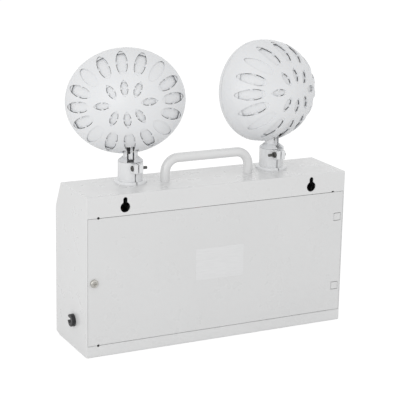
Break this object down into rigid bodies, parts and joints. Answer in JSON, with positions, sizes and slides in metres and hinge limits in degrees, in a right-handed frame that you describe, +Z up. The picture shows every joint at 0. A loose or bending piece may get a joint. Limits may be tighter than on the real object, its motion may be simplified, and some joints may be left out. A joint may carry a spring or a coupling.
{
  "type": "twin head emergency light",
  "caption": "White sheet-metal emergency light with a carry handle and oval lamp heads on swivel necks, their vented domes cut with petal louvres.",
  "frame": {"origin": "middle of the case's underside, halfway between its front and rear walls", "axes": "+Z up, +Y towards the rear wall side, +X to the right seen from the front"},
  "size_m": [0.2942, 0.0895, 0.2957],
  "materials": {
    "case_paint": "white powder coat with fine orange peel",
    "panel_paint": "white powder coat with fine orange peel",
    "handle_paint": "glossy white powder coat",
    "collar_paint": "glossy white paint on die casting",
    "stem_plastic": "moulded white, satin gloss",
    "dome_plastic": "moulded white, satin gloss",
    "bezel_plastic": "moulded white, satin gloss",
    "black_plastic": "moulded black nylon, fine grain",
    "button_red": "moulded red",
    "led_lens": "tinted clear",
    "battery_case": "moulded black, fine grain",
    "nickel": "nickel plated",
    "black_oxide": "black oxide",
    "zinc": "bright zinc plated",
    "steel": "galvanised sheet",
    "core_steel": "varnished laminations",
    "coil_wrap": "varnished winding tape",
    "board_green": "solder mask",
    "part_black": "moulded black",
    "sink_metal": "extruded",
    "block_plastic": "moulded natural nylon",
    "brass": "bright",
    "bright_metal": "vacuum metallised",
    "clear": "clear moulded",
    "ceramic": "unglazed white",
    "lamp_glass": "clear quartz",
    "lead_black": "insulated wire, dark",
    "lead_red": "insulated wire, dark red"
  },
  "bodies": {
    "case": {"housing_shell": "case_paint", "rear_panel": "panel_paint", "rear_panel_screw": "nickel", "carry_handle": "handle_paint", "handle_screws": "zinc", "handle_washers": "zinc", "cord_bushing": "black_plastic", "status_led": "led_lens", "test_button_case": "black_plastic", "battery_pack": "battery_case", "battery_terminals": "brass", "battery_strap": "steel", "transformer_core": "core_steel", "transformer_coil": "coil_wrap", "board_standoffs": "brass", "charger_board": "board_green", "board_plug": "block_plastic", "board_capacitors": "part_black", "heat_sink": "sink_metal", "terminal_block": "block_plastic", "inner_screws": "zinc", "lamp_feeds": "lead_black", "battery_leads": "lead_red", "supply_leads": "lead_black", "neck_collar_left": "collar_paint", "ring_nut_left": "zinc", "clamp_bolt_left": "black_oxide", "clamp_nut_left": "black_oxide", "neck_collar_right": "collar_paint", "ring_nut_right": "zinc", "clamp_bolt_right": "black_oxide", "clamp_nut_right": "black_oxide"},
    "stem_body_left": {"stem_left": "stem_plastic", "stem_clip_left": "zinc", "pivot_pin_left": "nickel", "stem_lead_left": "lead_black"},
    "head_body_left": {"head_bracket_left": "stem_plastic", "dome_left": "dome_plastic", "reflector_left": "bright_metal", "lens_left": "clear", "bezel_left": "bezel_plastic", "bezel_screws_left": "zinc", "lampholder_left": "ceramic", "capsule_lamp_left": "lamp_glass", "head_lead_left": "lead_black"},
    "stem_body_right": {"stem_right": "stem_plastic", "stem_clip_right": "zinc", "pivot_pin_right": "nickel", "stem_lead_right": "lead_black"},
    "head_body_right": {"head_bracket_right": "stem_plastic", "dome_right": "dome_plastic", "reflector_right": "bright_metal", "lens_right": "clear", "bezel_right": "bezel_plastic", "bezel_screws_right": "zinc", "lampholder_right": "ceramic", "capsule_lamp_right": "lamp_glass", "head_lead_right": "lead_black"},
    "test_button": {"test_button_cap": "button_red"}
  },
  "joints": [
    {"name": "pan_left", "type": "hinge", "parent": "case", "child": "stem_body_left", "pos_m": [0.08035, -0.0017, 0.1845], "axis": [0, 0, 1], "range_deg": [-120, 120]},
    {"name": "tilt_left", "type": "hinge", "parent": "stem_body_left", "child": "head_body_left", "pos_m": [0.08035, -0.0017, 0.1945], "axis": [0.9212, -0.3891, 0], "range_deg": [-28, 9]},
    {"name": "pan_right", "type": "hinge", "parent": "case", "child": "stem_body_right", "pos_m": [-0.08035, -0.0017, 0.1845], "axis": [0, 0, 1], "range_deg": [-120, 120]},
    {"name": "tilt_right", "type": "hinge", "parent": "stem_body_right", "child": "head_body_right", "pos_m": [-0.08035, -0.0017, 0.1945], "axis": [0.9563, 0.2924, 0], "range_deg": [-28, 9]},
    {"name": "test_button_push", "type": "slide", "parent": "case", "child": "test_button", "axis": [0, 1, 0], "range_m": [0, 0.0016], "stiffness_N_per_m": 400, "springref_m": -0.001}
  ]
}
